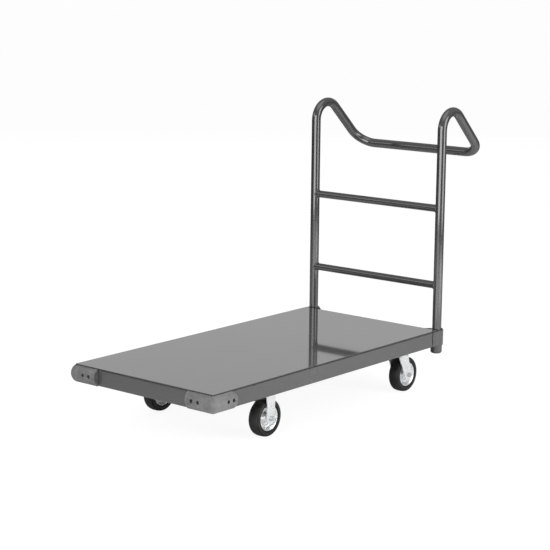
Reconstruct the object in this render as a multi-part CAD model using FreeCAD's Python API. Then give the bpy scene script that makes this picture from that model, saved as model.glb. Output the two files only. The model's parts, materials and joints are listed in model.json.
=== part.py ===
import FreeCAD, Part
import math
import os
from FreeCAD import Vector

# Steel-deck platform truck with a lift-out tube handle.
# Millimetres. +X points to the handle end, +Y to the left, +Z up, and the floor is z = 0.
# The truck is modelled about the middle of its deck, and moved to the middle of its whole
# length when it is written.

os.makedirs("parts", exist_ok=True)

# ---- Deck and frame ----
DECK_LENGTH = 1219.2
DECK_WIDTH = 609.6
DECK_TOP = 215.0
SHEET = 3.0                 # deck sheet and frame channel thickness
FRAME_DEPTH = 61.0          # deck top to the underside of the frame
OVERHANG = 2.0              # deck sheet past the frame's faces
FLANGE = 30.0               # width of the channels' flanges
BEND_IN = 3.0               # inside radius of every sheet bend
BEND_OUT = BEND_IN + SHEET
DECK_CORNER_R = 3.0
DECK_EDGE_R = 1.4

HALF_L = DECK_LENGTH / 2
HALF_W = DECK_WIDTH / 2
FRAME_L = HALF_L - OVERHANG     # middle of the deck to the aprons' faces
FRAME_W = HALF_W - OVERHANG     # middle of the deck to the side rails' faces
SHEET_UNDER = DECK_TOP - SHEET
FRAME_BOTTOM = DECK_TOP - FRAME_DEPTH
MEMBER_BOTTOM = FRAME_BOTTOM + SHEET

# ---- Cast corner guards at the front ----
GUARD_SIDE_LEG = 98.0       # length along the side
GUARD_FRONT_LEG = 104.0     # length along the front
GUARD_BULGE = 17.0          # how far the bull nose stands out
GUARD_EDGE = 1.5            # thickness at its top and bottom edges
GUARD_CORNER_R = 3.5
GUARD_GAP = 0.5             # below the deck sheet and above the frame's lower edge
GUARD_END_R = 16.0          # rounded upper end of the leg along the side
GUARD_HOLE_R = 6.4
GUARD_SHANK_HOLE_R = 3.2
GUARD_SEAT = 5.0            # metal left under a screw head
GUARD_HOLE_Z = 185.0
GUARD_SIDE_HOLES = (55.0, 80.0)     # screw holes' distances from the corner
GUARD_FRONT_HOLES = (50.0, 77.0)
SCREW_HEAD_R = 5.5
SCREW_HEAD_H = 3.5
SCREW_SHANK_R = 3.0
SCREW_SOCKET_R = 2.6
SCREW_SOCKET_DEPTH = 1.8

# ---- Handle and its sockets ----
TUBE_R = 33.4 / 2
TUBE_WALL = 2.6
SOCKET_R = 42.2 / 2
SOCKET_BORE_R = 35.1 / 2
SOCKET_TOP = 213.0
SOCKET_BOTTOM = 124.0
SOCKET_DRAIN_R = 9.0
SOCKET_ROUND = 8.0
SOCKET_WALL = SOCKET_R - SOCKET_BORE_R
HANDLE_X = 633.4
HANDLE_Y = 286.2
LEG_END = SOCKET_BOTTOM + SOCKET_WALL + 2.2    # the leg stands on the rounded foot of the bore
BEND_TOP_Z = 1085.0         # where an upright's line meets its arm's line
GRIP_X = 902.0
GRIP_Y = 279.0              # where an arm's line meets the grip's line
GRIP_Z = 833.0
TOP_BEND_R = 65.0
GRIP_BEND_R = 73.0
RUNG_R = 26.7 / 2
RUNG_WALL = 2.0
RUNG_HEIGHTS = {"lower_rung": 374.5, "upper_rung": 655.5}

BRACKET_T = 3.0
BRACKET_START_X = 587.0
BRACKET_TOP = SHEET_UNDER - 0.3
BRACKET_BOTTOM = 157.0
WRAP_R = SOCKET_R + 0.1     # inside of the strap where it wraps the socket

# ---- Casters ----
WHEEL_R = 63.5
WHEEL_HALF_T = 21.0
WHEEL_Y = 237.0
FRONT_AXLE_X = -280.0
SWIVEL_X = 462.0
TRAIL = 34.0
PLATE_L = 92.0
PLATE_W = 64.0
PLATE_T = 4.0
PLATE_CORNER_R = 5.0
BOLT_SPACING_X = 74.6
BOLT_SPACING_Y = 42.0
BOLT_R = 3.9
BOLT_HOLE_R = 4.35
BOLT_AF = 12.7
BOLT_HEAD_H = 5.3
NUT_H = 6.5
PLATE_UNDER = MEMBER_BOTTOM - PLATE_T
MEMBER_WIDTH = 130.0
MIDDLE_MEMBER_X = 90.0
MIDDLE_MEMBER_WIDTH = 70.0

FORK_T = 4.0
FORK_IN = 23.5              # wheel centre plane to a leg's inner face
FORK_OUT = FORK_IN + FORK_T
FORK_BEND_IN = 4.0
RIGID_LEG_HALF = 21.0
RIGID_LEG_WAIST = 19.5
LEG_END_R = 20.0
SWIVEL_TOP = 144.0
SWIVEL_HALF = 26.0
CUP_R = 34.0
CUP_LIP_R = 31.0
CUP_LIP_TOP = 149.6
BALL_R = 3.0
BALL_RING_R = 25.5
BALL_COUNT = 14
BALL_PLAY = 0.05
RACE_IN = 20.0
RACE_OUT = 29.5
KINGPIN_R = 6.0
KINGPIN_BORE_R = 6.1
KINGPIN_HEAD_R = 9.0
KINGPIN_HEAD_H = 2.0
KINGPIN_END = 130.0
KINGPIN_NUT_AF = 19.0
KINGPIN_NUT_H = 8.0
PLAY = 0.3                  # gap between faces that turn past each other

AXLE_R = 4.76
AXLE_HOLE_R = 4.9
AXLE_AF = 14.3
AXLE_HEAD_H = 6.0
AXLE_NUT_H = 8.0
AXLE_THREAD_PAST = 11.0
BUSH_R = 7.0
BUSH_BORE_R = 4.85
HUB_BORE_R = 11.0
ROLLER_R = 1.9
ROLLER_RING_R = 9.0
ROLLER_COUNT = 10
ROLLER_HALF = 17.5
HUB_HALF = 22.7
SEAT_R = 38.0
LIP_R = 43.0

# The truck's whole length runs from the guards' noses to the back of the grip.
FRONT_END = -HALF_L - GUARD_BULGE
REAR_END = GRIP_X + TUBE_R
ORIGIN_SHIFT = Vector(-(FRONT_END + REAR_END) / 2, 0, 0)

X = Vector(1, 0, 0)
Y = Vector(0, 1, 0)
Z = Vector(0, 0, 1)


# ---- Helpers ----
def write(name, shape):
    moved = shape.copy()
    moved.translate(ORIGIN_SHIFT)
    moved.exportStep("parts/" + name + ".step")


def box(x0, x1, y0, y1, z0, z1):
    return Part.makeBox(x1 - x0, y1 - y0, z1 - z0, Vector(x0, y0, z0))


def rod(radius, start, end):
    along = end - start
    return Part.makeCylinder(radius, along.Length, start, along)


def tube(outer, inner, start, end):
    return rod(outer, start, end).cut(rod(inner, start, end))


def hexagon(across_flats, start, direction, height):
    radius = across_flats / math.sqrt(3)
    flat = Part.makePolygon([
        Vector(radius * math.cos(math.radians(60 * i)), radius * math.sin(math.radians(60 * i)), 0)
        for i in range(7)
    ])
    prism = Part.Face(flat).extrude(Z * height)
    prism.Placement = FreeCAD.Placement(start, FreeCAD.Rotation(Z, direction))
    return prism


def mirrored(shape):
    return shape.mirror(Vector(0, 0, 0), Y)


def rounded_face(corners, place):
    """A flat face from (u, v, radius) corners; place turns (u, v) into a point."""
    count = len(corners)
    edges = []
    last = None
    first = None
    for i in range(count):
        here = Vector(corners[i][0], corners[i][1], 0)
        back = Vector(corners[i - 1][0], corners[i - 1][1], 0) - here
        ahead = Vector(corners[(i + 1) % count][0], corners[(i + 1) % count][1], 0) - here
        radius = corners[i][2] if len(corners[i]) > 2 else 0
        if radius > 0:
            angle = back.getAngle(ahead)
            reach = radius / math.tan(angle / 2)
            back.normalize()
            ahead.normalize()
            start = here + back * reach
            end = here + ahead * reach
            inward = back + ahead
            inward.normalize()
            middle = here + inward * (radius / math.sin(angle / 2) - radius)
            arc = Part.Arc(place(start), place(middle), place(end)).toShape()
        else:
            start = here
            end = here
            arc = None
        if last is not None and (start - last).Length > 1e-6:
            edges.append(Part.LineSegment(place(last), place(start)).toShape())
        if arc is not None:
            edges.append(arc)
        if first is None:
            first = start
        last = end
    if (first - last).Length > 1e-6:
        edges.append(Part.LineSegment(place(last), place(first)).toShape())
    return Part.Face(Part.Wire(edges))


def on_yz(x):
    return lambda p: Vector(x, p.x, p.y)


def on_xz(y):
    return lambda p: Vector(p.x, y, p.y)


def on_xy(z):
    return lambda p: Vector(p.x, p.y, z)


def spun(corners):
    """A ring about the Y axis from (y, radius, corner rounding) points."""
    face = rounded_face(corners, lambda p: Vector(p.y, p.x, 0))
    return face.revolve(Vector(0, 0, 0), Y, 360)


def channel_section(web_outer, web_inner_sign, low, high):
    """Corners of a C-channel: its web at web_outer, its flanges towards web_inner_sign."""
    tip = web_outer + web_inner_sign * FLANGE
    web = web_outer + web_inner_sign * SHEET
    return [
        (web_outer, low, BEND_OUT), (tip, low), (tip, low + SHEET), (web, low + SHEET, BEND_IN),
        (web, high - SHEET, BEND_IN), (tip, high - SHEET), (tip, high), (web_outer, high, BEND_OUT),
    ]


# ---- Deck and frame ----
def deck_sheet():
    outline = [(-HALF_L, -HALF_W), (HALF_L, -HALF_W), (HALF_L, HALF_W), (-HALF_L, HALF_W)]
    face = rounded_face([(u, v, DECK_CORNER_R) for u, v in outline], on_xy(SHEET_UNDER))
    sheet = face.extrude(Z * SHEET)
    rims = [e for e in sheet.Edges if e.BoundBox.ZLength < 0.01]
    return sheet.makeFillet(DECK_EDGE_R, rims)


def guard_screw_places():
    """Screw centres on the frame's faces, with their outward directions, for the left guard."""
    places = []
    for reach in GUARD_SIDE_HOLES:
        places.append((Vector(-HALF_L + reach, FRAME_W, GUARD_HOLE_Z), Y))
    for reach in GUARD_FRONT_HOLES:
        places.append((Vector(-FRAME_L, HALF_W - reach, GUARD_HOLE_Z), X * -1))
    return places


def frame_screw_holes(side):
    cutters = []
    for place, outward in guard_screw_places():
        cutter = rod(GUARD_SHANK_HOLE_R, place - outward * 2 * SHEET, place + outward * SHEET)
        cutters.append(cutter if side > 0 else mirrored(cutter))
    return cutters


def side_rail(side):
    section = channel_section(side * FRAME_W, -side, FRAME_BOTTOM, SHEET_UNDER)
    face = rounded_face(section, on_yz(-FRAME_L + SHEET))
    rail = face.extrude(X * 2 * (FRAME_L - SHEET))
    return rail.cut(frame_screw_holes(side))


def end_apron(end):
    section = channel_section(end * FRAME_L, -end, FRAME_BOTTOM, SHEET_UNDER)
    face = rounded_face(section, on_xz(-FRAME_W))
    apron = face.extrude(Y * 2 * FRAME_W)
    inside = end * (FRAME_L - SHEET)
    far = end * (FRAME_L - 2 * FLANGE)
    for side in (-1, 1):
        y0, y1 = sorted((side * (FRAME_W - FLANGE), side * HALF_W))
        x0, x1 = sorted((inside, far))
        apron = apron.cut(box(x0, x1, y0, y1, FRAME_BOTTOM - 1, DECK_TOP))
    if end < 0:
        apron = apron.cut(frame_screw_holes(-1) + frame_screw_holes(1))
    return apron


def bolt_places(centre_x, side):
    return [
        Vector(centre_x + i * BOLT_SPACING_X / 2, side * WHEEL_Y + j * BOLT_SPACING_Y / 2, 0)
        for i in (-1, 1) for j in (-1, 1)
    ]


def cross_member(centre_x, width, drilled):
    low = MEMBER_BOTTOM
    half = width / 2
    section = [
        (centre_x - half, low, BEND_OUT), (centre_x + half, low, BEND_OUT),
        (centre_x + half, SHEET_UNDER), (centre_x + half - SHEET, SHEET_UNDER),
        (centre_x + half - SHEET, low + SHEET, BEND_IN), (centre_x - half + SHEET, low + SHEET, BEND_IN),
        (centre_x - half + SHEET, SHEET_UNDER), (centre_x - half, SHEET_UNDER),
    ]
    reach = FRAME_W - SHEET - BEND_IN
    member = rounded_face(section, on_xz(-reach)).extrude(Y * 2 * reach)
    for side in (-1, 1):
        y0, y1 = sorted((side * (FRAME_W - FLANGE), side * HALF_W))
        member = member.cut(box(centre_x - width, centre_x + width, y0, y1, SHEET_UNDER - SHEET, DECK_TOP))
        if drilled:
            for place in bolt_places(centre_x, side):
                member = member.cut(rod(BOLT_HOLE_R, place + Z * low, place + Z * (low + SHEET)))
    return member


# ---- Corner guards ----
def left_guard():
    """Bull-nosed casting around the front left corner of the frame."""
    low = FRAME_BOTTOM + GUARD_GAP
    high = SHEET_UNDER - GUARD_GAP
    middle = (low + high) / 2
    corner = Vector(-HALF_L, HALF_W, 0)
    depth = GUARD_CORNER_R
    nose = Part.Arc(Vector(GUARD_EDGE, 0, low), Vector(GUARD_BULGE, 0, middle),
                    Vector(GUARD_EDGE, 0, high)).toShape()
    back_low = Vector(-depth, 0, low)
    back_high = Vector(-depth, 0, high)
    profile = Part.Face(Part.Wire([
        Part.LineSegment(back_low, Vector(GUARD_EDGE, 0, low)).toShape(),
        nose,
        Part.LineSegment(Vector(GUARD_EDGE, 0, high), back_high).toShape(),
        Part.LineSegment(back_high, back_low).toShape(),
    ]))
    side_leg = profile.copy()
    side_leg.Placement = FreeCAD.Placement(corner + X * depth, FreeCAD.Rotation(Z, 90))
    side_leg = side_leg.extrude(X * (GUARD_SIDE_LEG - depth))
    front_leg = profile.copy()
    front_leg.Placement = FreeCAD.Placement(corner - Y * depth, FreeCAD.Rotation(Z, 180))
    front_leg = front_leg.extrude(Y * (depth - GUARD_FRONT_LEG))
    turn_centre = corner + X * depth - Y * depth
    turn = profile.copy()
    turn.translate(X * depth)
    turn.Placement = FreeCAD.Placement(turn_centre, FreeCAD.Rotation(Z, 90)).multiply(
        FreeCAD.Placement(X * depth, FreeCAD.Rotation()))
    turn = turn.revolve(turn_centre, Z, 90)
    guard = side_leg.fuse([front_leg, turn]).removeSplitter()
    guard = guard.cut(box(-FRAME_L, FRAME_L, -FRAME_W, FRAME_W, 0, DECK_TOP))
    end_x = -HALF_L + GUARD_SIDE_LEG
    corner_cut = box(end_x - GUARD_END_R, end_x + 1, FRAME_W - 1, HALF_W + 2 * GUARD_BULGE,
                     high - GUARD_END_R, high + 1)
    keep_centre = Vector(end_x - GUARD_END_R, FRAME_W - 2, high - GUARD_END_R)
    keep = rod(GUARD_END_R, keep_centre, keep_centre + Y * 4 * GUARD_BULGE)
    guard = guard.cut(corner_cut.cut(keep))
    for place, outward in guard_screw_places():
        seat = place + outward * GUARD_SEAT
        guard = guard.cut(rod(GUARD_HOLE_R, seat, seat + outward * 2 * GUARD_BULGE))
        guard = guard.cut(rod(GUARD_SHANK_HOLE_R, place - outward, seat + outward))
    return guard


def guard_screws():
    screws = []
    for place, outward in guard_screw_places():
        seat = place + outward * GUARD_SEAT
        top = seat + outward * SCREW_HEAD_H
        screw = rod(SCREW_HEAD_R, seat, top)
        screw = screw.fuse(rod(SCREW_SHANK_R, place - outward * 3 * SHEET, seat))
        screw = screw.cut(rod(SCREW_SOCKET_R, top - outward * SCREW_SOCKET_DEPTH, top))
        screws += [screw, mirrored(screw)]
    return Part.makeCompound(screws)


# ---- Handle sockets ----
def rounded_foot(post, radius):
    low = post.BoundBox.ZMin + 0.01
    return post.makeFillet(radius, [e for e in post.Edges if e.BoundBox.ZMax < low])


def left_socket():
    base = Vector(HANDLE_X, HANDLE_Y, SOCKET_BOTTOM)
    top = Vector(HANDLE_X, HANDLE_Y, SOCKET_TOP)
    socket = rod(SOCKET_R, base, top)
    socket = rounded_foot(socket, SOCKET_ROUND)
    bore = rounded_foot(rod(SOCKET_BORE_R, base + Z * SOCKET_WALL, top), SOCKET_ROUND - SOCKET_WALL)
    return socket.cut(bore).cut(rod(SOCKET_DRAIN_R, base, top))


def left_bracket():
    """Bent strap from the side rail's face, around the socket, and back to the rear apron."""
    outside = WRAP_R + BRACKET_T
    turn = math.tan(math.radians(22.5))
    inner = []
    outer = []
    for line, radius, skin in ((inner, WRAP_R, 0), (outer, outside, BRACKET_T)):
        side_y = HANDLE_Y + radius
        rear_x = HANDLE_X + radius
        turn_y = HANDLE_Y - radius * turn
        line.append((BRACKET_START_X, FRAME_W + skin))
        line.append((HANDLE_X - SOCKET_R, side_y, 2 * radius))
        line.append((rear_x, side_y, radius))
        line.append((rear_x, turn_y, radius))
        line.append((FRAME_L, turn_y - (rear_x - FRAME_L)))
    outline = inner + outer[::-1]
    return rounded_face(outline, on_xy(BRACKET_BOTTOM)).extrude(Z * (BRACKET_TOP - BRACKET_BOTTOM))


# ---- Handle ----
def handle_path():
    """Centre line: up the left leg, over and down the left arm, across the grip, and back."""
    points = [
        Vector(HANDLE_X, HANDLE_Y, LEG_END), Vector(HANDLE_X, HANDLE_Y, BEND_TOP_Z),
        Vector(GRIP_X, GRIP_Y, GRIP_Z), Vector(GRIP_X, -GRIP_Y, GRIP_Z),
        Vector(HANDLE_X, -HANDLE_Y, BEND_TOP_Z), Vector(HANDLE_X, -HANDLE_Y, LEG_END),
    ]
    radii = [TOP_BEND_R, GRIP_BEND_R, GRIP_BEND_R, TOP_BEND_R]
    edges = []
    last = points[0]
    for here, before, after, radius in zip(points[1:-1], points, points[2:], radii):
        back = (before - here).normalize()
        ahead = (after - here).normalize()
        angle = back.getAngle(ahead)
        reach = radius / math.tan(angle / 2)
        start = here + back * reach
        end = here + ahead * reach
        inward = (back + ahead).normalize()
        middle = here + inward * (radius / math.sin(angle / 2) - radius)
        edges.append(Part.LineSegment(last, start).toShape())
        edges.append(Part.Arc(start, middle, end).toShape())
        last = end
    edges.append(Part.LineSegment(last, points[-1]).toShape())
    return Part.Wire(edges)


def handle_tube():
    path = handle_path()
    start = Vector(HANDLE_X, HANDLE_Y, LEG_END)
    skins = []
    for radius in (TUBE_R, TUBE_R - TUBE_WALL):
        ring = Part.Wire(Part.makeCircle(radius, start, Z))
        skins.append(path.makePipeShell([ring], True, False))
    return skins[0].cut(skins[1])


def rung(height):
    left = Vector(HANDLE_X, HANDLE_Y, height)
    right = Vector(HANDLE_X, -HANDLE_Y, height)
    bar = tube(RUNG_R, RUNG_R - RUNG_WALL, left, right)
    rise = Z * 2 * RUNG_R
    for end in (left, right):
        bar = bar.cut(rod(TUBE_R, end - rise, end + rise))
    return bar


# ---- Caster plates, forks and swivels ----
def caster_plate(centre):
    half_l = PLATE_L / 2
    half_w = PLATE_W / 2
    outline = [(-half_l, -half_w), (half_l, -half_w), (half_l, half_w), (-half_l, half_w)]
    face = rounded_face([(u, v, PLATE_CORNER_R) for u, v in outline], on_xy(PLATE_UNDER))
    plate = face.extrude(Z * PLATE_T)
    for i in (-1, 1):
        for j in (-1, 1):
            place = Vector(i * BOLT_SPACING_X / 2, j * BOLT_SPACING_Y / 2, PLATE_UNDER)
            plate = plate.cut(rod(BOLT_HOLE_R, place, place + Z * PLATE_T))
    plate.translate(centre)
    return plate


def swivel_plate(centre):
    """Top plate with the upper ball race pressed down from it and a seat for the kingpin's head."""
    plate = caster_plate(Vector(0, 0, 0))
    race_low = SWIVEL_TOP + 2 * (BALL_R + BALL_PLAY)
    race = tube(RACE_OUT, RACE_IN, Vector(0, 0, race_low), Vector(0, 0, PLATE_UNDER))
    plate = plate.fuse(race).removeSplitter()
    top = Vector(0, 0, MEMBER_BOTTOM)
    plate = plate.cut(rod(KINGPIN_R, top - Z * PLATE_T, top))
    plate = plate.cut(rod(KINGPIN_HEAD_R, top - Z * KINGPIN_HEAD_H, top))
    plate.translate(centre)
    return plate


def fork_body(top, outline):
    """An inverted U of sheet, trimmed to the side outline of its legs."""
    outer_r = FORK_BEND_IN + FORK_T
    section = [
        (-FORK_OUT, 0), (-FORK_OUT, top, outer_r), (FORK_OUT, top, outer_r), (FORK_OUT, 0),
        (FORK_IN, 0), (FORK_IN, top - FORK_T, FORK_BEND_IN), (-FORK_IN, top - FORK_T, FORK_BEND_IN),
        (-FORK_IN, 0),
    ]
    reach = 2 * CUP_R
    blank = rounded_face(section, on_yz(-reach)).extrude(X * 3 * reach)
    side = rounded_face(outline, on_xz(-2 * FORK_OUT)).extrude(Y * 4 * FORK_OUT)
    return blank.common(side)


def axle_hole(x):
    return rod(AXLE_HOLE_R, Vector(x, -2 * FORK_OUT, WHEEL_R), Vector(x, 2 * FORK_OUT, WHEEL_R))


def rigid_fork(centre):
    bottom = WHEEL_R - LEG_END_R
    waist = WHEEL_R + 2 * LEG_END_R
    outline = [
        (-RIGID_LEG_HALF, PLATE_UNDER), (-RIGID_LEG_WAIST, waist, 2 * LEG_END_R),
        (-LEG_END_R, bottom, LEG_END_R - 0.5), (LEG_END_R, bottom, LEG_END_R - 0.5),
        (RIGID_LEG_WAIST, waist, 2 * LEG_END_R), (RIGID_LEG_HALF, PLATE_UNDER),
    ]
    fork = fork_body(PLATE_UNDER, outline).cut(axle_hole(0))
    fork.translate(centre)
    return fork


def swivel_fork(centre):
    """Raked fork with the lower ball cup on its crown."""
    bottom = WHEEL_R - LEG_END_R
    back = TRAIL + LEG_END_R
    outline = [
        (-SWIVEL_HALF, SWIVEL_TOP), (-SWIVEL_HALF + 2, SWIVEL_TOP - 12, 15),
        (TRAIL - LEG_END_R + 1, WHEEL_R - 12, 30), (TRAIL - LEG_END_R + 7, bottom, 9),
        (back - 3, bottom, LEG_END_R - 3), (back, WHEEL_R + 12, 25),
        (SWIVEL_HALF + 8, SWIVEL_TOP - 32, 40), (SWIVEL_HALF, SWIVEL_TOP),
    ]
    fork = fork_body(SWIVEL_TOP, outline)
    crown = Vector(0, 0, SWIVEL_TOP)
    cup = rod(CUP_R, crown - Z * FORK_T, Vector(0, 0, CUP_LIP_TOP))
    cup = cup.cut(rod(CUP_LIP_R, crown, Vector(0, 0, CUP_LIP_TOP)))
    fork = fork.fuse(cup).removeSplitter()
    fork = fork.cut(rod(KINGPIN_BORE_R, crown - Z * 2 * FORK_T, crown + Z))
    fork = fork.cut(axle_hole(TRAIL))
    fork.translate(centre)
    return fork


def swivel_balls(centre):
    balls = []
    for i in range(BALL_COUNT):
        angle = 2 * math.pi * i / BALL_COUNT
        place = Vector(BALL_RING_R * math.cos(angle), BALL_RING_R * math.sin(angle),
                       SWIVEL_TOP + BALL_PLAY + BALL_R)
        balls.append(Part.makeSphere(BALL_R, centre + place))
    return Part.makeCompound(balls)


def kingpin(centre):
    top = centre + Z * MEMBER_BOTTOM
    pin = rod(KINGPIN_R, centre + Z * KINGPIN_END, top)
    return pin.fuse(rod(KINGPIN_HEAD_R, top - Z * KINGPIN_HEAD_H, top)).removeSplitter()


def kingpin_nut(centre):
    high = SWIVEL_TOP - FORK_T - PLAY
    start = centre + Z * (high - KINGPIN_NUT_H)
    nut = hexagon(KINGPIN_NUT_AF, start, Z, KINGPIN_NUT_H)
    return nut.cut(rod(KINGPIN_R, start, start + Z * KINGPIN_NUT_H))


def mount_bolt(place):
    under = place + Z * PLATE_UNDER
    tip = place + Z * (MEMBER_BOTTOM + SHEET + NUT_H + 2)
    head = hexagon(BOLT_AF, under - Z * BOLT_HEAD_H, Z, BOLT_HEAD_H)
    return head.fuse(rod(BOLT_R, under, tip)).removeSplitter()


def mount_nut(place):
    seat = place + Z * (MEMBER_BOTTOM + SHEET)
    return hexagon(BOLT_AF, seat, Z, NUT_H).cut(rod(BOLT_R, seat, seat + Z * NUT_H))


# ---- Wheels ----
# A wheel's centre is the origin here, and its axle runs along Y.
def tyre():
    half = [
        (13.2, SEAT_R + 0.1), (15.2, SEAT_R + 2.3), (16.8, LIP_R + 0.2), (19.2, LIP_R + 0.6, 0.6),
        (WHEEL_HALF_T, LIP_R + 4.0, 4.0), (WHEEL_HALF_T, WHEEL_R - 2.0, 9.0), (6.0, WHEEL_R, 20.0),
    ]
    other = [(-corner[0],) + corner[1:] for corner in reversed(half)]
    return spun(half + other)


def rim_half(side):
    """Pressed dish: hub barrel, web, tyre seat and turned-out lip."""
    half = [
        (0, HUB_BORE_R), (HUB_HALF, HUB_BORE_R), (HUB_HALF, 13.5, 0.8), (11.0, 14.0, 3.0),
        (3.5, 22.0, 5.0), (2.5, 36.0, 5.0), (14.9, 36.0, 2.0), (17.3, 39.4, 1.0),
        (19.0, LIP_R, 0.6), (17.0, LIP_R, 0.6), (15.4, 40.2, 1.0), (13.3, SEAT_R), (0, SEAT_R),
    ]
    rim = spun(half)
    return rim if side > 0 else mirrored(rim)


def hub_rollers():
    rollers = []
    for i in range(ROLLER_COUNT):
        angle = 2 * math.pi * i / ROLLER_COUNT
        place = Vector(ROLLER_RING_R * math.cos(angle), 0, ROLLER_RING_R * math.sin(angle))
        rollers.append(rod(ROLLER_R, place - Y * ROLLER_HALF, place + Y * ROLLER_HALF))
    return Part.makeCompound(rollers)


def axle_bush():
    return tube(BUSH_R, BUSH_BORE_R, Y * -FORK_IN, Y * FORK_IN)


def axle_bolt(side):
    outer = Y * (side * FORK_OUT)
    head = hexagon(AXLE_AF, outer, Y * side, AXLE_HEAD_H)
    tip = Y * (-side * (FORK_OUT + AXLE_THREAD_PAST))
    return head.fuse(rod(AXLE_R, tip, outer)).removeSplitter()


def axle_nut(side):
    seat = Y * (-side * FORK_OUT)
    nut = hexagon(AXLE_AF, seat, Y * -side, AXLE_NUT_H)
    return nut.cut(rod(AXLE_R, seat, seat - Y * (side * AXLE_NUT_H)))


def placed(shape, centre):
    moved = shape.copy()
    moved.translate(centre)
    return moved


# ---- The whole truck ----
SIDES = (("left", 1), ("right", -1))


def write_deck():
    write("deck_sheet", deck_sheet())
    write("front_apron", end_apron(-1))
    write("rear_apron", end_apron(1))
    write("front_cross_member", cross_member(FRONT_AXLE_X, MEMBER_WIDTH, True))
    write("middle_cross_member", cross_member(MIDDLE_MEMBER_X, MIDDLE_MEMBER_WIDTH, False))
    write("rear_cross_member", cross_member(SWIVEL_X, MEMBER_WIDTH, True))
    for name, side in SIDES:
        write("side_rail_" + name, side_rail(side))
    write("corner_guard_left", left_guard())
    write("corner_guard_right", mirrored(left_guard()))
    write("corner_guard_screws", guard_screws())
    write("handle_socket_left", left_socket())
    write("handle_socket_right", mirrored(left_socket()))
    write("socket_bracket_left", left_bracket())
    write("socket_bracket_right", mirrored(left_bracket()))


def write_handle():
    write("handle_tube", handle_tube())
    for name, height in RUNG_HEIGHTS.items():
        write(name, rung(height))


def write_wheel(name, centre):
    write("tyre_" + name, placed(tyre(), centre))
    write("rim_outer_" + name, placed(rim_half(math.copysign(1, centre.y)), centre))
    write("rim_inner_" + name, placed(rim_half(-math.copysign(1, centre.y)), centre))
    write("hub_rollers_" + name, placed(hub_rollers(), centre))


def write_rigid_casters():
    bushes = []
    bolts = []
    nuts = []
    for name, side in SIDES:
        centre = Vector(FRONT_AXLE_X, side * WHEEL_Y, 0)
        hub = centre + Z * WHEEL_R
        write("rigid_top_plate_" + name, caster_plate(centre))
        write("rigid_fork_" + name, rigid_fork(centre))
        write_wheel("front_" + name, hub)
        bushes.append(placed(axle_bush(), hub))
        bolts.append(placed(axle_bolt(side), hub))
        nuts.append(placed(axle_nut(side), hub))
    write("front_axle_bushes", Part.makeCompound(bushes))
    write("front_axle_bolts", Part.makeCompound(bolts))
    write("front_axle_nuts", Part.makeCompound(nuts))


def write_swivel_casters():
    pins = []
    pin_nuts = []
    for name, side in SIDES:
        centre = Vector(SWIVEL_X, side * WHEEL_Y, 0)
        hub = centre + X * TRAIL + Z * WHEEL_R
        write("swivel_top_plate_" + name, swivel_plate(centre))
        write("swivel_fork_" + name, swivel_fork(centre))
        write("swivel_balls_" + name, swivel_balls(centre))
        write_wheel("rear_" + name, hub)
        write("rear_axle_bush_" + name, placed(axle_bush(), hub))
        write("rear_axle_bolt_" + name, placed(axle_bolt(side), hub))
        write("rear_axle_nut_" + name, placed(axle_nut(side), hub))
        pins.append(kingpin(centre))
        pin_nuts.append(kingpin_nut(centre))
    write("swivel_kingpins", Part.makeCompound(pins))
    write("kingpin_nuts", Part.makeCompound(pin_nuts))


def write_mount_fasteners():
    places = []
    for centre_x in (FRONT_AXLE_X, SWIVEL_X):
        for side in (-1, 1):
            places += bolt_places(centre_x, side)
    write("caster_mount_bolts", Part.makeCompound([mount_bolt(place) for place in places]))
    write("caster_mount_nuts", Part.makeCompound([mount_nut(place) for place in places]))


write_deck()
write_handle()
write_rigid_casters()
write_swivel_casters()
write_mount_fasteners()
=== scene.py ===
import json
import math

import bmesh
import bpy
from mathutils import Matrix, Vector


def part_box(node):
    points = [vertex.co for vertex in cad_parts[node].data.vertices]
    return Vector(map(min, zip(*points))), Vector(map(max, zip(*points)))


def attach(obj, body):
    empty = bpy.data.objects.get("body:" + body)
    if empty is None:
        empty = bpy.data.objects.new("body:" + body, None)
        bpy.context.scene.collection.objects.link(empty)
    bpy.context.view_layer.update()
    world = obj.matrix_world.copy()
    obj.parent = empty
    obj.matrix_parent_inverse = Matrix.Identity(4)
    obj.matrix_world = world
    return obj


# Lengths are in metres and angles in degrees, apart from the lens and sensor in millimetres.
# Handle tube over rung tube, outside diameters: 1 in and 3/4 in nominal pipe.
PIPE_RATIO = 33.4 / 26.7

# Weld beads
BEAD_STEP = 0.0006          # length of one slice
BEAD_SIDES = 10
RIPPLE, RIPPLE_LENGTH = 0.09, 0.0024
WANDER, WANDER_TURN = 0.05, 0.37    # a slower change of size, in radians a slice
BEAD_TIP = 0.45             # size of an open bead's ends
COLLAR_BEAD = 0.0026        # radii of the beads, by seam
STRAP_FRONT_BEAD = 0.0024
STRAP_REAR_BEAD = 0.0028
SOCKET_BEAD = 0.0034
RIM_BEAD = 0.0015
MEMBER_BEAD = 0.0020
FORK_BEAD = 0.0026
COLLAR_POINTS = 72          # round a rung's end
COLLAR_PROUD = 0.0004       # how far a collar's line stands off the rung
RIM_POINTS = 40             # along the bead at a socket's top
RIM_START, RIM_SWEEP = -40, 130
RIM_PROUD = 0.0006
STRAP_PROUD_FRONT, STRAP_PROUD_REAR = 0.0012, 0.0006
SOCKET_PROUD, SOCKET_SPREAD = 0.0018, 0.009
SEAM_END = 0.001            # how far the upright seams stop short of the sheet's edges
MEMBER_END = 0.008
FORK_END = 0.002

# Camera and floor
EYE = (-4.48185, -3.6316, 1.5534)
EYE_YAW, EYE_PITCH, EYE_ROLL = 39.615, -10.883, 0.568
LENS, SENSOR = 109.63, 36.0
FLOOR_REACH = 90.0
NEAR_FLOOR, FAR_FLOOR = 1.1, 3.4    # between these the floor's bounce light fades

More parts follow.
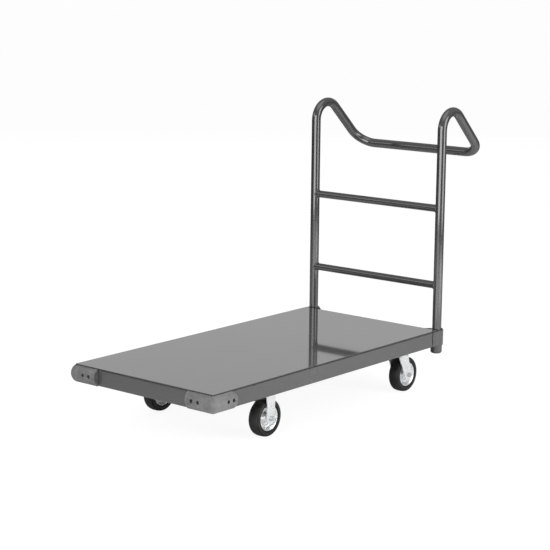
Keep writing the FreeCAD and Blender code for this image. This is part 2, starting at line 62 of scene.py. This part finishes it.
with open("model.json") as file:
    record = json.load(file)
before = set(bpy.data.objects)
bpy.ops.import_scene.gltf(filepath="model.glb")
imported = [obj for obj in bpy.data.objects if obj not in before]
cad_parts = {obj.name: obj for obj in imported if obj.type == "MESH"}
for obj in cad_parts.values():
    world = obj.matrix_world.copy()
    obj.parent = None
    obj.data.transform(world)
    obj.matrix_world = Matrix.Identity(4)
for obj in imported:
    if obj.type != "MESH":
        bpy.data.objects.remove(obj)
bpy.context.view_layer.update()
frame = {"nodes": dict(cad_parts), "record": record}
nodes = frame["nodes"]


def low(node, axis):
    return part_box(node)[0][axis]


def high(node, axis):
    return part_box(node)[1][axis]


def middle(node, axis):
    return (low(node, axis) + high(node, axis)) / 2


def half(node, axis):
    return (high(node, axis) - low(node, axis)) / 2


# ---- Material helpers ----
class Graph:
    """A material's node tree with short calls for the nodes used here."""

    def __init__(self, name):
        self.material = bpy.data.materials.new(name)
        self.material.use_nodes = True
        self.tree = self.material.node_tree
        self.tree.nodes.clear()
        self.output = self.tree.nodes.new("ShaderNodeOutputMaterial")
        self.shader = self.tree.nodes.new("ShaderNodeBsdfPrincipled")
        self.link(self.shader.outputs["BSDF"], self.output.inputs["Surface"])
        self.place = self.tree.nodes.new("ShaderNodeTexCoord").outputs["Object"]

    def link(self, out, into):
        self.tree.links.new(out, into)

    def feed(self, value, into):
        if isinstance(value, bpy.types.NodeSocket):
            self.link(value, into)
        else:
            into.default_value = value

    def stretched(self, scale):
        mapping = self.tree.nodes.new("ShaderNodeMapping")
        mapping.inputs["Scale"].default_value = scale
        self.link(self.place, mapping.inputs["Vector"])
        return mapping.outputs["Vector"]

    def noise(self, scale, detail=3.0, rough=0.5, stretch=None, distortion=0.0):
        texture = self.tree.nodes.new("ShaderNodeTexNoise")
        texture.inputs["Scale"].default_value = scale
        texture.inputs["Detail"].default_value = detail
        texture.inputs["Roughness"].default_value = rough
        texture.inputs["Distortion"].default_value = distortion
        self.link(self.stretched(stretch) if stretch else self.place, texture.inputs["Vector"])
        return texture.outputs["Fac"]

    def cells(self, scale):
        """A random tone for each cell."""
        texture = self.tree.nodes.new("ShaderNodeTexVoronoi")
        texture.inputs["Scale"].default_value = scale
        self.link(self.place, texture.inputs["Vector"])
        return texture.outputs["Color"]

    def math(self, kind, a, b=0.0):
        calc = self.tree.nodes.new("ShaderNodeMath")
        calc.operation = kind
        self.feed(a, calc.inputs[0])
        self.feed(b, calc.inputs[1])
        return calc.outputs["Value"]

    def remap(self, value, low, high, to_low, to_high):
        fit = self.tree.nodes.new("ShaderNodeMapRange")
        self.feed(value, fit.inputs["Value"])
        for key, number in (("From Min", low), ("From Max", high), ("To Min", to_low), ("To Max", to_high)):
            fit.inputs[key].default_value = number
        return fit.outputs["Result"]

    def mix(self, factor, a, b):
        blend = self.tree.nodes.new("ShaderNodeMix")
        blend.data_type = "RGBA"
        self.feed(factor, blend.inputs["Factor"])
        self.feed((*a, 1.0) if isinstance(a, tuple) else a, blend.inputs["A"])
        self.feed((*b, 1.0) if isinstance(b, tuple) else b, blend.inputs["B"])
        return blend.outputs["Result"]

    def rounded(self, radius):
        """The surface direction with corners rounded off at this radius."""
        bevel = self.tree.nodes.new("ShaderNodeBevel")
        bevel.samples = 4
        bevel.inputs["Radius"].default_value = radius
        return bevel.outputs["Normal"]

    def edges(self, radius, low=0.02, high=0.25):
        """0 on open faces, rising to 1 on edges and corners."""
        geometry = self.tree.nodes.new("ShaderNodeNewGeometry")
        dot = self.tree.nodes.new("ShaderNodeVectorMath")
        dot.operation = "DOT_PRODUCT"
        self.link(self.rounded(radius), dot.inputs[0])
        self.link(geometry.outputs["Normal"], dot.inputs[1])
        away = self.math("SUBTRACT", 1.0, dot.outputs["Value"])
        return self.remap(away, low, high, 0.0, 1.0)

    def crevices(self, reach):
        """1 in open air, falling to 0 in gaps and inside corners narrower than reach."""
        shade = self.tree.nodes.new("ShaderNodeAmbientOcclusion")
        shade.samples = 6
        shade.inputs["Distance"].default_value = reach
        return shade.outputs["AO"]

    def painted_crevice_shade(self, color, reach, dark=0.35):
        """Painted shade: the colour darkened in crevices and inside corners narrower than reach."""
        open_air = self.remap(self.crevices(reach), 0.25, 0.85, 0.0, 1.0)
        crevice_shaded = self.tree.nodes.new("ShaderNodeMix")
        crevice_shaded.data_type = "RGBA"
        crevice_shaded.blend_type = "MULTIPLY"
        crevice_shaded.inputs["Factor"].default_value = 1.0
        self.link(color, crevice_shaded.inputs["A"])
        self.link(self.mix(open_air, grey(dark), grey(1.0)), crevice_shaded.inputs["B"])
        return crevice_shaded.outputs["Result"]

    def bump(self, height, strength, distance, under=None):
        bump = self.tree.nodes.new("ShaderNodeBump")
        bump.inputs["Strength"].default_value = strength
        bump.inputs["Distance"].default_value = distance
        self.link(height, bump.inputs["Height"])
        if under is not None:
            self.link(under, bump.inputs["Normal"])
        return bump.outputs["Normal"]

    def finish(self, color, roughness, normal, **fixed):
        self.link(color, self.shader.inputs["Base Color"])
        self.link(roughness, self.shader.inputs["Roughness"])
        self.link(normal, self.shader.inputs["Normal"])
        for key, value in fixed.items():
            self.shader.inputs[key.replace("_", " ")].default_value = value
        return self.material


def grey(level, warm=0.0):
    return (level * (1 + warm), level, level * (1 - warm))


def enamel(name, level, rough, peel=0.05, wave=0.0, variation=0.08, edge_wear_and_highlight=0.35, streak=None, shade_below_height=None,
           ior=1.7, soft_corners=True):
    """Glossy sprayed enamel: orange peel, faint thickness variation, and edges lightened partly as thin worn
    paint and partly as a painted highlight.
    Below the given height the paint is darkened and dulled: painted shade for the shadow line under the deck's
    top edge."""
    g = Graph(name)
    broad = g.noise(5.0, 3.0)
    fine = g.noise(160.0, 4.0, 0.6)
    tone = g.math("ADD", g.math("MULTIPLY", broad, 0.7), g.math("MULTIPLY", fine, 0.3))
    if streak:
        rubbed = g.noise(1.0, 5.0, 0.65, streak)
        tone = g.math("ADD", g.math("MULTIPLY", tone, 0.6), g.math("MULTIPLY", rubbed, 0.4))
    factor = g.remap(tone, 0.3, 0.7, 0.0, 1.0)
    color = g.mix(factor, grey(level * (1 - variation)), grey(level * (1 + variation)))
    # lighter edges: partly worn thin paint, partly a painted highlight along the rounded edges
    edge = g.edges(0.0012)
    worn_and_lit_edges = g.math("MULTIPLY", edge, g.remap(g.noise(90.0, 4.0, 0.7), 0.38, 0.62, 0.15, 1.0))
    color = g.mix(g.math("MULTIPLY", worn_and_lit_edges, edge_wear_and_highlight), color, grey(level * 2.3 + 0.03))
    # painted shade darkens the paint in its crevices and inside corners
    color = g.painted_crevice_shade(color, 0.006)
    roughness = g.remap(broad, 0.3, 0.7, rough * 0.8, rough * 1.25)
    # painted shade: the sheet's edge under the deck's top is darkened for its shadow line
    if shade_below_height:
        height = g.tree.nodes.new("ShaderNodeSeparateXYZ")
        g.link(g.place, height.inputs["Vector"])
        edge_shade_mask = g.remap(height.outputs["Z"], shade_below_height - 0.0004, shade_below_height, 1.0, 0.0)
        color = g.mix(g.math("MULTIPLY", edge_shade_mask, g.remap(broad, 0.3, 0.7, 0.75, 0.95)), color, grey(level * 0.25))
        roughness = g.math("MAXIMUM", roughness, g.math("MULTIPLY", edge_shade_mask, 0.45))
    normal = g.bump(g.noise(420.0, 2.0), peel, 0.0004, g.rounded(0.0006) if soft_corners else None)
    if wave:
        normal = g.bump(g.noise(4.5, 2.0, 0.4), wave, 0.004, normal)
    return g.finish(color, roughness, normal, IOR=ior)


def casting(name, level):
    """Painted rough casting: sand texture and blotchy tone."""
    g = Graph(name)
    blotch = g.noise(38.0, 5.0, 0.62, distortion=0.4)
    grain = g.noise(480.0, 3.0, 0.6)
    tone = g.math("ADD", g.math("MULTIPLY", blotch, 0.8), g.math("MULTIPLY", grain, 0.2))
    color = g.mix(g.remap(tone, 0.34, 0.66, 0.0, 1.0), grey(level * 0.72), grey(level * 1.35))
    # lighter edges: partly worn paint, partly a painted highlight along the guard's edges
    edge = g.edges(0.002)
    color = g.mix(g.math("MULTIPLY", edge, 0.45), color, grey(level * 2.0))
    # painted shade darkens the casting in its crevices and inside corners
    color = g.painted_crevice_shade(color, 0.005)
    roughness = g.remap(blotch, 0.3, 0.7, 0.42, 0.62)
    normal = g.bump(grain, 0.35, 0.0005, g.rounded(0.0012))
    normal = g.bump(g.noise(70.0, 3.0, 0.5), 0.35, 0.0012, normal)
    return g.finish(color, roughness, normal, IOR=1.5)


def zinc(name, level, rough, metallic=1.0):
    """Bright zinc plate: soft cloudy tone, fine grain and dulled edges."""
    g = Graph(name)
    cloud = g.noise(45.0, 4.0, 0.6)
    spangle = g.cells(230.0)
    tone = g.mix(0.12, g.remap(cloud, 0.3, 0.7, 0.0, 1.0), spangle)
    color = g.mix(tone, grey(level * 0.92, -0.008), grey(min(1.0, level * 1.05), -0.012))
    edge = g.edges(0.0010)
    color = g.mix(g.math("MULTIPLY", edge, 0.35), color, grey(level * 0.65))
    roughness = g.remap(cloud, 0.3, 0.7, rough * 0.75, rough * 1.3)
    normal = g.bump(g.noise(700.0, 2.0), 0.10, 0.0003, g.rounded(0.0006))
    normal = g.bump(g.noise(60.0, 2.0), 0.07, 0.0010, normal)
    return g.finish(color, roughness, normal, Metallic=metallic)


def rubber(name, level):
    """Moulded black rubber. Painted shade: a black ring against the rim and a dark line at the shoulder.
    The sidewall and a band round the tread are lighter, partly dust and wear, partly a painted sheen."""
    g = Graph(name)
    place = g.tree.nodes.new("ShaderNodeSeparateXYZ")
    g.link(g.place, place.inputs["Vector"])
    tyre_r = half("tyre_front_left", 2)
    ahead = g.math("ABSOLUTE", g.math("SUBTRACT", place.outputs["X"], middle("tyre_front_left", 0)))
    behind = g.math("ABSOLUTE", g.math("SUBTRACT", place.outputs["X"], middle("tyre_rear_left", 0)))
    along = g.math("MINIMUM", ahead, behind)
    up = g.math("SUBTRACT", place.outputs["Z"], middle("tyre_front_left", 2))
    squares = g.math("ADD", g.math("MULTIPLY", along, along), g.math("MULTIPLY", up, up))
    radius = g.math("DIVIDE", g.math("SQRT", squares), tyre_r)
    off_centre = g.math("SUBTRACT", g.math("ABSOLUTE", place.outputs["Y"]), middle("tyre_front_left", 1))
    tread = g.remap(g.math("ABSOLUTE", off_centre), 0.010, 0.0135, 1.0, 0.0)
    # painted shadow: a black ring against the rim; painted shade: a dark line at the shoulder
    sidewall = g.remap(radius, 0.75, 0.80, 0.0, 1.0)
    shoulder = g.remap(g.math("ABSOLUTE", g.math("SUBTRACT", radius, 0.925)), 0.008, 0.030, 0.0, 1.0)
    bloom = g.noise(60.0, 5.0, 0.65)
    scuff = g.noise(34.0, 4.0, 0.6)
    grit = g.noise(900.0, 2.0, 0.6)
    # the lighter grey is partly dust and wear, partly a painted sheen on the sidewall and tread
    dust_and_sheen = g.math("MULTIPLY", sidewall, g.math("MAXIMUM", shoulder, tread))
    dust_and_sheen = g.math("MULTIPLY", dust_and_sheen, g.remap(scuff, 0.32, 0.62, 0.35, 1.0))
    black = g.mix(g.remap(bloom, 0.35, 0.7, 0.0, 1.0), grey(level * 0.2), grey(level * 0.35, 0.02))
    worn_and_sheen = g.mix(g.remap(bloom, 0.35, 0.7, 0.0, 1.0), grey(level * 0.8, 0.02), grey(level * 1.3, 0.03))
    color = g.mix(dust_and_sheen, black, worn_and_sheen)
    color = g.mix(g.math("MULTIPLY", g.edges(0.003), 0.2), color, grey(level * 1.6, 0.03))
    # painted shade darkens the tyre in its crevices and against the rim
    color = g.painted_crevice_shade(color, 0.02, 0.3)
    roughness = g.remap(bloom, 0.3, 0.7, 0.38, 0.56)
    normal = g.bump(grit, 0.18, 0.0003)
    normal = g.bump(g.noise(110.0, 3.0), 0.15, 0.0008, normal)
    return g.finish(color, roughness, normal, IOR=1.32)


def dark_steel(name, level):
    """Blackened steel of a recessed screw, worn bright on its rim."""
    g = Graph(name)
    cloud = g.noise(220.0, 4.0, 0.6)
    color = g.mix(g.remap(cloud, 0.3, 0.7, 0.0, 1.0), grey(level * 0.6), grey(level * 1.5))
    color = g.mix(g.math("MULTIPLY", g.edges(0.0006), 0.6), color, grey(0.35))
    roughness = g.remap(cloud, 0.3, 0.7, 0.32, 0.5)
    return g.finish(color, roughness, g.bump(cloud, 0.2, 0.0003), Metallic=0.8)


MATERIALS = {
    "deck_paint": enamel("deck_paint", 0.085, 0.055, peel=0.006, wave=0.012, streak=(3.0, 14.0, 3.0), edge_wear_and_highlight=0.1,
                         shade_below_height=high("deck_sheet", 2) - 0.0003),
    "frame_paint": enamel("frame_paint", 0.054, 0.22, peel=0.008, variation=0.05),
    "guard_casting": casting("guard_casting", 0.120),
    "dark_steel": dark_steel("dark_steel", 0.05),
    "handle_paint": enamel("handle_paint", 0.036, 0.08, peel=0.003, edge_wear_and_highlight=0.2, ior=2.0, soft_corners=False),
    "zinc_plate": zinc("zinc_plate", 0.86, 0.30, metallic=0.84),
    "zinc_fastener": zinc("zinc_fastener", 0.66, 0.30),
    "bearing_steel": zinc("bearing_steel", 0.45, 0.25),
    "rim_zinc": zinc("rim_zinc", 0.86, 0.26, metallic=0.84),
    "tyre_rubber": rubber("tyre_rubber", 0.020),
}

for part in frame["record"]["subparts"]:
    node = nodes[part["node"]]
    node.data.materials.clear()
    node.data.materials.append(MATERIALS[part["material_slot"]])


# ---- Weld beads ----
def bead(name, path, radius, body, slot, closed=False):
    """A rippled weld bead along a path of points, half sunk in the pieces it joins."""
    points = []
    ends = zip(path, path[1:] + path[:1]) if closed else zip(path, path[1:])
    for start, end in ends:
        count = max(1, round((end - start).length / BEAD_STEP))
        points += [start.lerp(end, i / count) for i in range(count)]
    if not closed:
        points.append(path[-1])
    total = len(points)
    mesh = bmesh.new()
    rings = []
    guide = Vector((0.31, 0.52, 0.79))
    for i, point in enumerate(points):
        ahead = points[(i + 1) % total] if closed or i + 1 < total else point
        behind = points[i - 1] if closed or i > 0 else point
        along = (ahead - behind).normalized()
        guide = (guide - along * guide.dot(along)).normalized()
        other = along.cross(guide)
        ripple = RIPPLE * math.sin(i * BEAD_STEP / RIPPLE_LENGTH * 2 * math.pi)
        wander = WANDER * math.sin(i * WANDER_TURN)
        from_end = min(i, total - 1 - i) * BEAD_STEP
        taper = 1.0 if closed else min(1.0, BEAD_TIP + (1 - BEAD_TIP) * from_end / radius)
        size = radius * (1 + ripple + wander) * taper
        ring = []
        for k in range(BEAD_SIDES):
            turn = 2 * math.pi * k / BEAD_SIDES
            ring.append(mesh.verts.new(point + (guide * math.cos(turn) + other * math.sin(turn)) * size))
        rings.append(ring)
    for i in range(total if closed else total - 1):
        a, b = rings[i], rings[(i + 1) % total]
        shift = 0
        if closed and i == total - 1:
            gaps = [(b[k].co - a[0].co).length for k in range(BEAD_SIDES)]
            shift = gaps.index(min(gaps))
        for k in range(BEAD_SIDES):
            after = (k + 1) % BEAD_SIDES
            mesh.faces.new((a[k], a[after], b[(after + shift) % BEAD_SIDES], b[(k + shift) % BEAD_SIDES]))
    if not closed:
        mesh.faces.new(rings[0][::-1])
        mesh.faces.new(rings[-1])
    bmesh.ops.recalc_face_normals(mesh, faces=mesh.faces)
    data = bpy.data.meshes.new(name)
    mesh.to_mesh(data)
    mesh.free()
    for face in data.polygons:
        face.use_smooth = True
    data.materials.append(MATERIALS[slot])
    piece = bpy.data.objects.new(name, data)
    bpy.context.collection.objects.link(piece)
    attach(piece, body)


def rung_welds():
    """Collars where the rungs' coped ends meet the uprights."""
    tube_r = PIPE_RATIO * half("lower_rung", 0)
    upright_y = high("handle_tube", 1) - tube_r
    for node in ("lower_rung", "upper_rung"):
        collar_r = half(node, 2) + COLLAR_PROUD
        centre_x = middle(node, 0)
        centre_z = middle(node, 2)
        for side, sign in (("left", 1), ("right", -1)):
            path = []
            for i in range(COLLAR_POINTS):
                turn = 2 * math.pi * i / COLLAR_POINTS
                across = collar_r * math.cos(turn)
                inward = math.sqrt(tube_r ** 2 - across ** 2)
                path.append(Vector((centre_x + across, sign * (upright_y - inward),
                                    centre_z + collar_r * math.sin(turn))))
            bead(node + "_weld_" + side, path, COLLAR_BEAD, "handle", "handle_paint", closed=True)


def upright_bead(name, x, y, bottom, top, radius):
    bead(name, [Vector((x, y, bottom)), Vector((x, y, top))], radius, "frame", "frame_paint")


def socket_welds():
    """Beads that join the sockets and their straps to the rails and the rear apron."""
    apron_x = high("rear_apron", 0)
    for side, sign in (("left", 1), ("right", -1)):
        strap = "socket_bracket_" + side
        socket = "handle_socket_" + side
        rail_y = sign * high("side_rail_left", 1)
        bottom = low(strap, 2) + SEAM_END
        top = high("rear_apron", 2) - SEAM_END
        socket_y = middle(socket, 1)
        inner_y = sign * min(abs(low(strap, 1)), abs(high(strap, 1)))
        front_y = rail_y + sign * STRAP_PROUD_FRONT
        rear_x = apron_x + STRAP_PROUD_REAR
        upright_bead("strap_front_weld_" + side, low(strap, 0), front_y, bottom, top, STRAP_FRONT_BEAD)
        upright_bead("strap_rear_weld_" + side, rear_x, inner_y, bottom, top, STRAP_REAR_BEAD)
        for place, way in (("outer", sign), ("inner", -sign)):
            name = "socket_" + place + "_weld_" + side
            seam_y = socket_y + way * SOCKET_SPREAD
            upright_bead(name, apron_x + SOCKET_PROUD, seam_y, bottom, top, SOCKET_BEAD)
        radius = half(socket, 1)
        rim = []
        for i in range(RIM_POINTS):
            turn = math.radians(RIM_START + RIM_SWEEP * i / (RIM_POINTS - 1))
            rim.append(Vector((middle(socket, 0) + radius * math.cos(turn),
                               socket_y + sign * radius * math.sin(turn), high(socket, 2) + RIM_PROUD)))
        bead("socket_rim_weld_" + side, rim, RIM_BEAD, "frame", "frame_paint")


def member_welds():
    """Stitches under the frame, where the cross members lie on the rails' flanges."""
    flange_y = low("side_rail_left", 1)
    for node in ("front_cross_member", "middle_cross_member", "rear_cross_member"):
        for side, sign in (("left", 1), ("right", -1)):
            start = Vector((low(node, 0) + MEMBER_END, sign * flange_y, low(node, 2)))
            end = Vector((high(node, 0) - MEMBER_END, sign * flange_y, low(node, 2)))
            bead(node + "_weld_" + side, [start, end], MEMBER_BEAD, "frame", "frame_paint")


def fork_welds():
    """Beads along the rigid forks' shoulders, under their top plates."""
    for side in ("left", "right"):
        fork = "rigid_fork_" + side
        level = high(fork, 2)
        for place, y in (("outer", high(fork, 1)), ("inner", low(fork, 1))):
            start = Vector((low(fork, 0) + FORK_END, y, level))
            end = Vector((high(fork, 0) - FORK_END, y, level))
            bead(fork + "_" + place + "_weld", [start, end], FORK_BEAD, "frame", "zinc_plate")


rung_welds()
socket_welds()
member_welds()
fork_welds()


# ---- Floor, light and camera ----
def stage_floor():
    mesh = bpy.data.meshes.new("floor")
    corners = [(x * FLOOR_REACH, y * FLOOR_REACH, 0) for x, y in ((-1, -1), (1, -1), (1, 1), (-1, 1))]
    mesh.from_pydata(corners, [], [(0, 1, 2, 3)])
    floor = bpy.data.objects.new("floor", mesh)
    bpy.context.collection.objects.link(floor)
    g = Graph("floor_paper")
    tone = g.noise(2.0, 3.0)
    away = g.tree.nodes.new("ShaderNodeVectorMath")
    away.operation = "LENGTH"
    g.link(g.place, away.inputs[0])
    bounce = g.mix(g.remap(away.outputs["Value"], NEAR_FLOOR, FAR_FLOOR, 0.0, 1.0), grey(0.74), grey(0.14))
    path = g.tree.nodes.new("ShaderNodeLightPath")
    seen = path.outputs["Is Camera Ray"]
    color = g.mix(seen, bounce, g.mix(tone, grey(0.15), grey(0.165)))
    g.link(g.mix(seen, grey(0.0), grey(0.90)), g.shader.inputs["Emission Color"])
    g.shader.inputs["Emission Strength"].default_value = 1.0
    mesh.materials.append(g.finish(color, g.remap(tone, 0.0, 1.0, 0.85, 0.95), g.bump(tone, 0.01, 0.001)))


def softbox(name, place, target, width, height, radiance, mirrored=True, diffuse=True):
    """A panel light that the camera doesn't see. It may be left out of reflections, or show only in them."""
    light = bpy.data.lights.new(name, "AREA")
    light.shape = "RECTANGLE"
    light.size = width
    light.size_y = height
    light.energy = radiance * math.pi * width * height
    box = bpy.data.objects.new(name, light)
    bpy.context.collection.objects.link(box)
    box.location = place
    box.visible_camera = False
    box.visible_glossy = mirrored
    box.visible_diffuse = diffuse
    aim = Vector(target) - Vector(place)
    box.rotation_euler = aim.to_track_quat("-Z", "Y").to_euler()


def sky():
    """Bright overhead and dimmer towards the horizon, with a white backdrop for the camera."""
    world = bpy.data.worlds.new("studio")
    world.use_nodes = True
    tree = world.node_tree
    tree.nodes.clear()
    out = tree.nodes.new("ShaderNodeOutputWorld")
    back = tree.nodes.new("ShaderNodeBackground")
    coord = tree.nodes.new("ShaderNodeTexCoord")
    split = tree.nodes.new("ShaderNodeSeparateXYZ")
    ramp = tree.nodes.new("ShaderNodeValToRGB")
    tree.links.new(coord.outputs["Generated"], split.inputs["Vector"])
    tree.links.new(split.outputs["Z"], ramp.inputs["Fac"])
    backdrop = tree.nodes.new("ShaderNodeMix")
    backdrop.data_type = "RGBA"
    backdrop.inputs["B"].default_value = (1.0, 1.0, 1.0, 1.0)
    tree.links.new(tree.nodes.new("ShaderNodeLightPath").outputs["Is Camera Ray"], backdrop.inputs["Factor"])
    tree.links.new(ramp.outputs["Color"], backdrop.inputs["A"])
    tree.links.new(backdrop.outputs["Result"], back.inputs["Color"])
    tree.links.new(back.outputs["Background"], out.inputs["Surface"])
    stops = ((0.0, 0.15), (0.10, 0.18), (0.40, 0.30), (1.0, 0.50))
    ramp.color_ramp.elements[0].position = stops[0][0]
    ramp.color_ramp.elements[1].position = stops[-1][0]
    for position, _ in stops[1:-1]:
        ramp.color_ramp.elements.new(position)
    for element, (position, level) in zip(ramp.color_ramp.elements, stops):
        element.color = (level, level, level, 1.0)
    bpy.context.scene.world = world


def camera():
    """Long lens in front of the near corner, looking down on the deck."""
    yaw, pitch, roll = (math.radians(angle) for angle in (EYE_YAW, EYE_PITCH, EYE_ROLL))
    forward = Vector((math.cos(pitch) * math.cos(yaw), math.cos(pitch) * math.sin(yaw), math.sin(pitch)))
    right = forward.cross(Vector((0, 0, 1))).normalized()
    up = right.cross(forward)
    turned_right = right * math.cos(roll) + up * math.sin(roll)
    turned_up = up * math.cos(roll) - right * math.sin(roll)
    data = bpy.data.cameras.new("camera")
    data.sensor_width = SENSOR
    data.lens = LENS
    data.clip_end = 500.0
    eye = bpy.data.objects.new("camera", data)
    bpy.context.collection.objects.link(eye)
    turn = Matrix((turned_right, turned_up, -forward)).transposed().to_4x4()
    eye.matrix_world = Matrix.Translation(EYE) @ turn
    bpy.context.scene.camera = eye


stage_floor()
sky()
softbox("front_panel", (-2.9, -0.86, 1.10), (0.5, -0.86, 1.10), 3.1, 2.08, 3.3)
softbox("front_card", (-2.15, -0.92, 0.01), (-2.15, -0.92, 1.0), 3.2, 1.5, 0.7, diffuse=False)
softbox("side_panel", (0.95, -3.4, 1.50), (0.95, 0.0, 1.50), 1.9, 2.84, 2.9)
softbox("side_card", (0.85, -2.4, 0.01), (0.85, -2.4, 1.0), 2.1, 1.8, 0.6, diffuse=False)
softbox("low_side_panel", (0.4, -2.9, 0.55), (0.0, 0.0, 0.2), 3.2, 0.9, 9.5, mirrored=False)
softbox("low_left_panel", (-2.8, 1.7, 0.35), (-0.75, 0.3, 0.18), 1.4, 0.6, 3.5, mirrored=False)
softbox("key_panel", (-1.9, 2.0, 1.95), (0.75, 0.0, 0.83), 2.4, 0.7, 1.3)
softbox("overhead", (-0.2, -0.3, 3.2), (0.0, 0.0, 0.2), 2.4, 2.4, 0.8)
softbox("back_panel", (6.4, 5.2, 2.9), (0.0, 0.0, 0.4), 7.0, 2.4, 0.60)
camera()
scene = bpy.context.scene
scene.view_settings.view_transform = "Standard"
scene.view_settings.look = "None"
